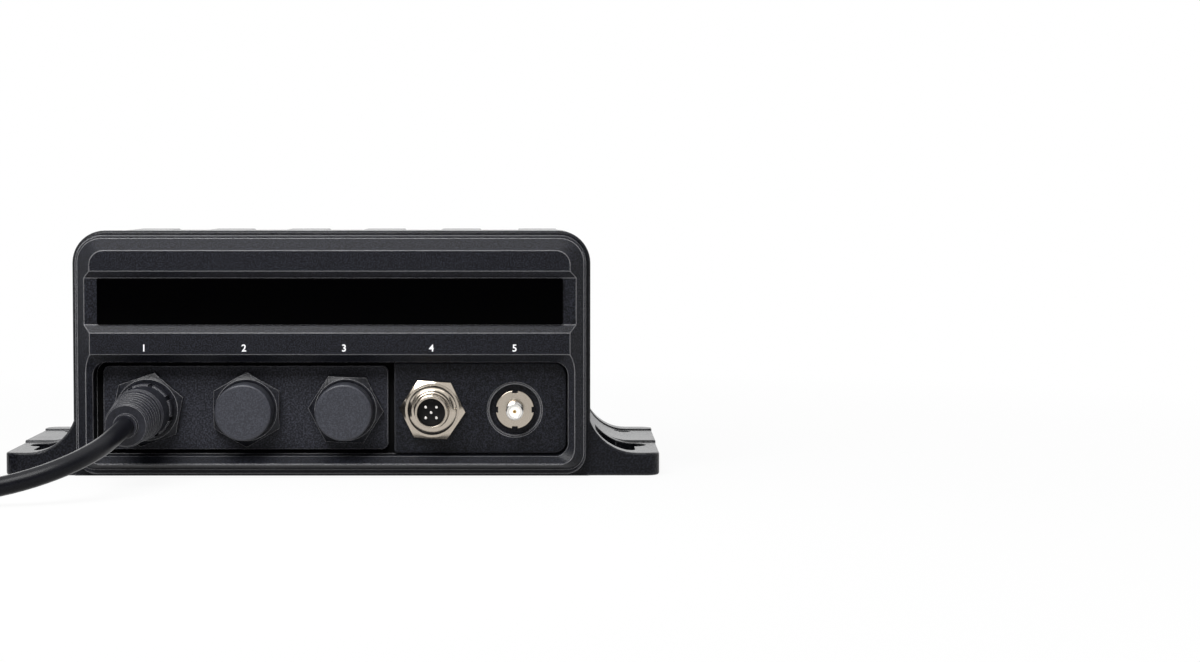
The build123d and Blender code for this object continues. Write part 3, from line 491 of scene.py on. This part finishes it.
def dulled(tree, place, shade, gloss, depths):
    """A painted shade: the colour turns dull black, and the roughness full, between two depths behind
    the plateau.
    """
    axes = tree.nodes.new("ShaderNodeSeparateXYZ")
    tree.links.new(place, axes.inputs[0])
    depth = map_range(tree, axes.outputs["Y"], *[at_depth(value) for value in depths], 0.0, 1.0)
    return mixed(tree, "RGBA", depth, shade, DEPTH_SHADE_BLACK), mixed(tree, "FLOAT", depth, gloss, 1.0)


# %% [markdown]
# ### The grain
# Coatings and mouldings are never quite even. A texture made from a real surface could show that,
# but it would repeat, and every piece would need UVs. A fine noise works at any size: it changes
# the shade a little and raises the surface a little. A second, much coarser noise changes the
# gloss.

# %% A grained finish
GRAIN_LOW, GRAIN_HIGH = 0.42, 0.66  # the noise turns from the darkest to the lightest in this span
CLOUD_SIZE = 22  # the gloss changes over this many grains
GLOSS_PLAY = 0.15  # how much rougher or smoother it gets
GRAIN_DEPTH = 0.3  # relief of the grain, as a share of its size


def grained(name, colour, roughness, grain_mm=0.4, bump=0.3, metallic=0.0, edge_mm=0.25,
            specks=1.2, specular=0.5, edge=None, shade_depths=None):
    """A finish with a fine grain: specks is how much lighter the peaks of the grain are, edge
    the grey of a painted highlight on the edges, or None for none, and the last argument the pair
    of depths in millimetres between which a painted shade fades the finish to dull black."""
    finish = bpy.data.materials.new(name)
    tree = new_tree(finish)
    add, link = tree.nodes.new, tree.links.new
    place = add("ShaderNodeTexCoord").outputs["Object"]
    grain, cloud = noise(tree, place, grain_mm), noise(tree, place, grain_mm * CLOUD_SIZE)
    tint = add("ShaderNodeVectorMath")
    tint.operation = "SCALE"
    tint.inputs[0].default_value = colour
    link(map_range(tree, grain, GRAIN_LOW, GRAIN_HIGH, 1 / specks, specks), tint.inputs["Scale"])
    shade = tint.outputs[0]
    gloss = map_range(tree, cloud, 0.0, 1.0, roughness * (1 - GLOSS_PLAY),
                      roughness * (1 + GLOSS_PLAY))
    # painted shade: dull black deep in a recess
    if shade_depths:
        shade, gloss = dulled(tree, place, shade, gloss, shade_depths)
    rounded = add("ShaderNodeBevel")
    rounded.samples = 4
    rounded.inputs["Radius"].default_value = edge_mm * MM
    # painted highlight: the edges turn a lighter grey
    if edge is not None:
        shade = rubbed(tree, rounded.outputs[0], shade, edge)
    relief = add("ShaderNodeBump")
    relief.inputs["Strength"].default_value = bump
    relief.inputs["Distance"].default_value = GRAIN_DEPTH * grain_mm * MM
    link(grain, relief.inputs["Height"])
    link(rounded.outputs[0], relief.inputs["Normal"])
    shader = add("ShaderNodeBsdfPrincipled")
    shader.inputs["Metallic"].default_value = metallic
    shader.inputs["Specular IOR Level"].default_value = specular
    for value, socket in ((shade, "Base Color"), (gloss, "Roughness"), (relief.outputs[0], "Normal")):
        link(value, shader.inputs[socket])
    link(shader.outputs[0], add("ShaderNodeOutputMaterial").inputs["Surface"])
    return finish


# %% Finishes for CAD nodes
def finish_nodes(finish, *names):
    """Gives CAD nodes a finish."""
    for name in names:
        nodes[name].data.materials.clear()
        nodes[name].data.materials.append(finish)


# %% [markdown]
# ### Case and moulded front
# The casting is powder coated: matt, with a grain of 0.7 mm that shows at this distance as a soft
# mottle. The front is moulded in a spark-eroded tool, which leaves a finer grain. In the depth of
# its recess its colour is painted a dull black, a painted shade for the little light that gets in
# beside the plates. The edges of the case, front and plate are painted a lighter grey, a painted
# highlight. The strip in the channel is polished film over black, deeper than anything else.

# %% Case, front and strip
# edge is the grey of a painted highlight on the edges of a finish
cast_black = grained("cast_black", (0.0056, 0.0060, 0.0084), 0.31, grain_mm=0.7, bump=0.8,
                     edge_mm=0.6, specks=2.2, specular=0.16, edge=0.15)
moulded = dict(colour=(0.0066, 0.0071, 0.0098), roughness=0.34, grain_mm=0.45, bump=0.8,
               edge_mm=0.5, specks=2.8, specular=0.16, edge=0.24)
moulded_black = grained("moulded_black", **moulded)
# the front's recess gets a painted shade, dull black between 7 and 11 mm deep
panel_black = grained("panel_black", shade_depths=(7.0, 11.0), **moulded)
plate_black = grained("plate_black", (0.0170, 0.0178, 0.0235), 0.42, grain_mm=0.6, bump=0.8,
                      edge_mm=0.3, specks=2.2, specular=0.16, edge=0.24)
gloss_black = grained("gloss_black", (0.0003, 0.0003, 0.0004), 0.10, grain_mm=0.3, bump=0.01,
                      edge_mm=0.15, specular=0.03)
finish_nodes(cast_black, "chassis")
finish_nodes(panel_black, "front_panel")
finish_nodes(moulded_black, "network_plate", "power_gland", "data_gland",
             "power_gland_nut", "data_gland_nut")
finish_nodes(plate_black, "handset_plate")
finish_nodes(gloss_black, "name_strip")
print("case, front and strip finished")

# %% [markdown]
# ### Rubber, caps, nuts and lead
# The caps are moulded, lighter and smoother than the front. The nuts and barrels are plated black
# and catch the light on every edge, and there a painted highlight makes them lighter still, as it
# does on the edges of the caps and the boot. The boot is a soft rubber, and the lead's jacket is
# smooth, so a long soft highlight runs along it. The tie is a woven strap, the roughest of them all.

# %% Rubber, caps, nuts and lead
seal_rubber = grained("seal_rubber", (0.006, 0.006, 0.007), 0.7, grain_mm=0.3, bump=0.2,
                      specular=0.2)
cap_black = grained("cap_black", (0.033, 0.0345, 0.043), 0.36, grain_mm=0.45, bump=0.5,
                    edge_mm=0.35, specks=1.35, specular=0.3, edge=0.24)
boot_rubber = grained("boot_rubber", (0.012, 0.0125, 0.0175), 0.40, grain_mm=0.5, bump=0.3,
                      edge_mm=0.2, specks=1.5, specular=0.3, edge=0.20)
lead_jacket = grained("lead_jacket", (0.003, 0.0032, 0.0050), 0.36, grain_mm=0.8, bump=0.06,
                      specular=0.13)
tie_black = grained("tie_black", (0.012, 0.012, 0.014), 0.8, grain_mm=0.5, bump=0.6)
plated_black = grained("plated_black", (0.0080, 0.0084, 0.0115), 0.30, grain_mm=0.7, bump=0.5,
                       edge_mm=0.35, specks=1.8, specular=0.22, edge=0.30)
insulator_black = grained("insulator_black", (0.004, 0.004, 0.0045), 0.5, grain_mm=0.3, bump=0.1,
                          specular=0.2)
finish_nodes(seal_rubber, "panel_gasket", "cap_seal_2", "cap_seal_3", "power_gland_seal",
             "data_gland_seal")
finish_nodes(cap_black, "socket_cap_2", "socket_cap_3", "lead_connector")
finish_nodes(boot_rubber, "plug_boot", "plug_ring")
finish_nodes(tie_black, "coil_tie")
finish_nodes(plated_black, "handset_nut_1", "handset_nut_2", "handset_nut_3",
             "handset_socket_1", "handset_socket_2", "handset_socket_3", "lead_connector_nut")
finish_nodes(insulator_black, "handset_insert_1", "handset_insert_2", "handset_insert_3",
             "plug_body", "network_insert", "board_link", "antenna_relay", "final_amplifier")
handset_lead.data.materials.append(lead_jacket)
print("rubber, caps, nuts and lead finished")

# %% [markdown]
# ### Metals
# Nickel plate is a warm grey mirror, blurred by fine turning marks. Gold contacts are small and
# bright, and the plated steel of the screws is duller.

# %% Metals, white insulators and boards
nickel_plate = grained("nickel_plate", (0.50, 0.445, 0.375), 0.16, grain_mm=0.25, bump=0.06,
                       metallic=1.0, edge_mm=0.25, specks=1.06)
bright_nickel = grained("bright_nickel", (0.82, 0.80, 0.77), 0.12, grain_mm=0.25, bump=0.03,
                        metallic=1.0, edge_mm=0.15, specks=1.04)
contact_gold = grained("contact_gold", (0.85, 0.62, 0.28), 0.22, grain_mm=0.2, bump=0.03,
                       metallic=1.0, edge_mm=0.1, specks=1.05)
screw_steel = grained("screw_steel", (0.50, 0.50, 0.50), 0.32, grain_mm=0.3, bump=0.1,
                      metallic=1.0, specks=1.08)
tin_plate = grained("tin_plate", (0.62, 0.62, 0.60), 0.35, grain_mm=0.8, bump=0.05,
                    metallic=1.0, specks=1.1)
bare_aluminium = grained("bare_aluminium", (0.72, 0.72, 0.73), 0.4, grain_mm=0.5, bump=0.1,
                         metallic=1.0, specks=1.08)
insulator_white = grained("insulator_white", (0.86, 0.85, 0.82), 0.35, grain_mm=0.3, bump=0.05,
                          specks=1.04)
circuit_board = grained("circuit_board", (0.02, 0.10, 0.05), 0.3, grain_mm=0.9, bump=0.1,
                        specks=1.15)
finish_nodes(nickel_plate, "network_socket", "gps_ring_nut", "gps_socket", "antenna_socket")
finish_nodes(bright_nickel, "network_pins")
finish_nodes(contact_gold, "handset_pins", "gps_contact", "antenna_contact")
finish_nodes(screw_steel, "antenna_screws", "earth_screw", "earth_washer", "case_screws",
             "board_screws")
finish_nodes(tin_plate, "shield_can", "output_filter_can", "gps_module")
finish_nodes(bare_aluminium, "heat_spreader")
finish_nodes(insulator_white, "gps_insulator", "antenna_insulator")
finish_nodes(circuit_board, "jack_board", "main_board")
print(len(bpy.data.materials), "materials so far, two of them the studio's")

# %% [markdown]
# ## Threads and turned steps
# The nickel-plated parts were turned on a lathe: steps with broken edges, a hollow at the foot
# of a barrel, and real threads. A step is a loop of points spun once round its axis.
# A thread is a small tooth spun many times while it moves along the axis, which is what dvec is
# for. The back of each socket is a copy of the CAD node, cut square, so it still seats as the CAD
# says. Two rims are left at the cut, and bridge_loops closes the ring between them. It makes no
# faces where the cutting plane is a flat face of the node as well.

# %% Points spun round an axis
def sweep(form, points, turns, steps, climb):
    """Spins a loop of (depth, radius) points round the Y axis; climb is how far it moves on."""
    corners = [form.verts.new((radius * MM, depth * MM, 0.0)) for depth, radius in points]
    loop = [form.edges.new(pair) for pair in zip(corners, corners[1:] + corners[:1])]
    bmesh.ops.spin(form, geom=corners + loop, cent=(0, 0, 0), axis=(0, 1, 0),
                   angle=2 * math.pi * turns, steps=steps, dvec=(0, climb * MM / steps, 0),
                   use_merge=climb == 0)


# %% A turned ring
TURN_STEPS = 64
SAME_POINT = 0.001 * MM  # points closer than this are merged
EDGE_BREAK = 0.12  # how far a sharp edge is taken off, in millimetres
SHARP_ANGLE = 35  # degrees: edges sharper than this are broken


def turned_steps(points):
    """A turned ring with its sharp edges broken."""
    form = bmesh.new()
    sweep(form, points, 1, TURN_STEPS, 0)
    bmesh.ops.remove_doubles(form, verts=form.verts, dist=SAME_POINT)
    sharp = [edge for edge in form.edges if edge.calc_face_angle(0) > math.radians(SHARP_ANGLE)]
    bmesh.ops.bevel(form, geom=sharp, offset=EDGE_BREAK * MM, segments=2, profile=0.5,
                    affect="EDGES", clamp_overlap=True, material=-1)
    return form


# %% A thread
TOOTH_FOOT, TOOTH_CREST = 0.44, 0.07  # half the width of a thread's tooth, in pitches
TOOTH_SUNK = 0.1  # how far the tooth's foot lies inside the core, in millimetres


def thread(start, end, root, crest, pitch):
    """The tooth of a thread, wound from one depth to another over a core of radius root."""
    form = bmesh.new()
    turns = (end - start) / pitch - 1
    tooth = [(start + (0.5 + place) * pitch, radius) for place, radius in (
        (-TOOTH_FOOT, root - TOOTH_SUNK), (-TOOTH_CREST, crest), (TOOTH_CREST, crest),
        (TOOTH_FOOT, root - TOOTH_SUNK))]
    sweep(form, tooth, turns, round(turns * TURN_STEPS / 2), turns * pitch)
    ends = [edge for edge in form.edges if edge.is_boundary]
    bmesh.ops.holes_fill(form, edges=ends, sides=0)
    return form


# %% Part of a CAD node
ON_THE_CUT = 0.0001 * MM  # points closer than this to a cutting plane lie on it


def cad_part(name, cut, keep_behind):
    """A merged copy of a CAD node, cut square at a depth, with its rims bridged if they can be."""
    form = bmesh.new()
    form.from_mesh(nodes[name].data)
    bmesh.ops.remove_doubles(form, verts=form.verts, dist=SAME_POINT)
    everything = form.verts[:] + form.edges[:] + form.faces[:]
    result = bmesh.ops.bisect_plane(form, geom=everything, dist=ON_THE_CUT,
                                    plane_co=(0, at_depth(cut), 0), plane_no=(0, 1, 0),
                                    clear_inner=keep_behind, clear_outer=not keep_behind)
    rim = [item for item in result["geom_cut"] if isinstance(item, bmesh.types.BMEdge)]
    bmesh.ops.bridge_loops(form, edges=rim)
    return form


# %% One piece from all its shapes
SMOOTH_ANGLE = 16  # degrees: edges flatter than this are shaded smooth


def joined(name, x, z, forms, copies, finish):
    """One piece from bmeshes round the Y axis, set at (x, z), and bmeshes already in place."""
    whole = bmesh.new()
    for form, place in [(form, (x, PLATEAU_Y, z)) for form in forms] + [
            (form, (0, 0, 0)) for form in copies]:
        bmesh.ops.translate(form, vec=place, verts=form.verts)
        bmesh.ops.recalc_face_normals(form, faces=form.faces)
        part = bpy.data.meshes.new("part")
        form.to_mesh(part)
        form.free()
        whole.from_mesh(part)
        bpy.data.meshes.remove(part)
    for face in whole.faces:
        face.smooth = True
    for edge in whole.edges:
        edge.smooth = edge.calc_face_angle(0) < math.radians(SMOOTH_ANGLE)
    mesh = bpy.data.meshes.new(name)
    whole.to_mesh(mesh)
    whole.free()
    mesh.materials.append(finish)
    piece = bpy.data.objects.new(name, mesh)
    bpy.context.scene.collection.objects.link(piece)
    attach(piece, "unit")
    print(name, len(mesh.polygons), "faces")
    return piece


# %% [markdown]
# ### The network socket
# An M12 fitting: a hexagon, a conical collar, and a thin barrel with a pitch of one millimetre.
# A hollow is turned into the collar at the foot of the barrel. The hollow and the cone matter
# most, because they face every way: at the top they mirror the soft boxes, and at the sides the
# dark cards. The cut is at the front face of the hexagon, so its ring stays open, and the collar
# lies over it.

# %% The hollow
HOLLOW_STEPS = 8


def hollow(centre_depth, centre_radius, radius):
    """Quarter round from the barrel out to the collar's cone, as (depth, radius) points."""
    for step in range(HOLLOW_STEPS + 1):
        angle = math.pi / 2 * step / HOLLOW_STEPS
        yield (centre_depth + radius * math.sin(angle), centre_radius - radius * math.cos(angle))


# %% Network socket, all in millimetres
M12_BORE, M12_ROOT, M12_CREST, M12_PITCH = 5.1, 5.45, 6.0, 1.0
M12_MOUTH, M12_LIP = -5.5, 0.5  # depth of the mouth, and the plain lip at it
COLLAR_RADIUS, COLLAR_BACK = 9.0, 5.5

network_shell = turned_steps([
    (M12_MOUTH, M12_BORE), (M12_MOUTH, 5.95), (M12_MOUTH + M12_LIP, 5.95),
    (M12_MOUTH + M12_LIP, M12_ROOT), (1.6, M12_ROOT), (1.6, 6.1), *hollow(2.2, 7.2, 1.1),
    (3.3, 7.4), (4.5, COLLAR_RADIUS), (COLLAR_BACK, COLLAR_RADIUS), (6.0, 8.0), (6.0, M12_BORE)])
network_thread = thread(-5.2, 2.0, M12_ROOT, M12_CREST, M12_PITCH)
network_piece = joined("network_shell", network_x, socket_z, [network_shell, network_thread],
                       [cad_part("network_socket", COLLAR_BACK, True)], nickel_plate)
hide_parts("network_socket")

# %% [markdown]
# ### The satellite aerial socket
# A quarter-inch thread with 36 turns to the inch, polished, that stands out of a ring nut. The
# well round it has a thin lip of its own, which catches the light as a fine ring.

# %% Aerial socket, all in millimetres
INCH = 25.4
AERIAL_BORE, AERIAL_ROOT, AERIAL_CREST = 2.1, 2.8, INCH / 8
AERIAL_PITCH = 0.7056  # an inch over 36
AERIAL_BACK = 8.6

gps_shell = turned_steps([
    (-0.9, AERIAL_BORE), (-0.9, 2.85), (-0.6, 3.0), (-0.2, 3.0), (-0.2, AERIAL_ROOT),
    (AERIAL_BACK, AERIAL_ROOT), (AERIAL_BACK, AERIAL_BORE)])
gps_thread = thread(-0.4, 8.5, AERIAL_ROOT, AERIAL_CREST, AERIAL_PITCH)
gps_piece = joined("gps_shell", aerial_x, socket_z, [gps_shell, gps_thread],
                   [cad_part("gps_socket", 8.55, True)], bright_nickel)
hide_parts("gps_socket")

# %% The lip of the aerial socket's well, in millimetres
LIP_IN, LIP_OUT = 9.3, 9.75  # radii
LIP_FRONT, LIP_BACK = 8.2, 10.5  # depths

well_lip = turned_steps([
    (LIP_FRONT, LIP_IN), (LIP_FRONT, LIP_OUT), (LIP_BACK, LIP_OUT), (LIP_BACK, LIP_IN)])
lip_piece = joined("gps_well_lip", aerial_x, socket_z, [well_lip], [], moulded_black)

# %% [markdown]
# ### The antenna socket at the rear
# The big coaxial socket has a 5/8 inch barrel with 24 turns to the inch on a square flange. It
# points backwards, so here the copy of the CAD node is what lies in front of the cut.

# %% Antenna socket, all in millimetres
BARREL_LENGTH = 12.0
ANTENNA_BORE, ANTENNA_ROOT, ANTENNA_CREST = 6.2, 7.4, 7.95
ANTENNA_PITCH = 1.058  # an inch over 24

antenna_x, antenna_z = axis_of("antenna_contact")
barrel_end = (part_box("antenna_socket")[1].y - PLATEAU_Y) / MM
flange_face = barrel_end - BARREL_LENGTH
antenna_shell = turned_steps([
    (flange_face, ANTENNA_BORE), (flange_face, ANTENNA_ROOT), (barrel_end - 0.8, ANTENNA_ROOT),
    (barrel_end - 0.4, 7.9), (barrel_end, 7.6), (barrel_end, ANTENNA_BORE)])
antenna_thread = thread(flange_face + 0.3, barrel_end - 0.6, ANTENNA_ROOT, ANTENNA_CREST,
                        ANTENNA_PITCH)
antenna_piece = joined("antenna_shell", antenna_x, antenna_z, [antenna_shell, antenna_thread],
                       [cad_part("antenna_socket", flange_face + 0.1, False)], nickel_plate)
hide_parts("antenna_socket")

# %% [markdown]
# ## Socket numbers
# The sockets are told apart by small printed marks above them. Here they are plain numbers. Text
# is made a mesh first, then set in place, so that the piece sits at the origin like the others.

# %% A printed number
NUMBER_HEIGHT = 2.6 * MM
NUMBER_Z = 47.3 * MM
DIGIT_SHARE = 0.72  # a digit is about this much of the font's size
FATTER = 0.05 * MM  # how much the strokes are widened, to read at this size
INK = 0.03 * MM  # how far the ink stands proud of the plateau
ink_white = grained("ink_white", (0.92, 0.92, 0.95), 0.5, grain_mm=0.15, bump=0.1, specks=1.04)


def printed_number(number, x):
    """One white number, printed flat on the plateau and centred over its socket."""
    text = bpy.data.curves.new(f"number_{number}", "FONT")
    text.body = str(number)
    text.size = NUMBER_HEIGHT / DIGIT_SHARE
    text.align_x = "CENTER"
    text.align_y = "CENTER"
    text.offset = FATTER
    text.extrude = INK / 2
    letter = bpy.data.objects.new("letter", text)
    bpy.context.scene.collection.objects.link(letter)
    bpy.context.view_layer.update()
    mesh = bpy.data.meshes.new_from_object(
        letter.evaluated_get(bpy.context.evaluated_depsgraph_get()))
    bpy.data.objects.remove(letter)
    upright = Matrix.Rotation(math.radians(90), 4, "X")
    mesh.transform(Matrix.Translation((x, at_depth(0) - INK / 2, NUMBER_Z)) @ upright)
    mesh.materials.clear()
    mesh.materials.append(ink_white)
    piece = bpy.data.objects.new(f"number_{number}", mesh)
    bpy.context.scene.collection.objects.link(piece)
    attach(piece, "unit")
    return piece


# %% Numbers above the sockets
number_places = [axis_of(f"handset_insert_{index}")[0] for index in (1, 2, 3)]
number_places += [network_x, aerial_x]
for index, place in enumerate(number_places, start=1):
    printed_number(index, place)
print("numbers at X", [round(place, 4) for place in number_places])

# %% [markdown]
# The visual model must fit the CAD model's box. Blender takes a curve's box from its control
# points and its radius. The lead runs inside its points, so here its box comes out up to half a
# millimetre larger than the lead itself.

# %% Bring the scene up to date
bpy.context.view_layer.update()
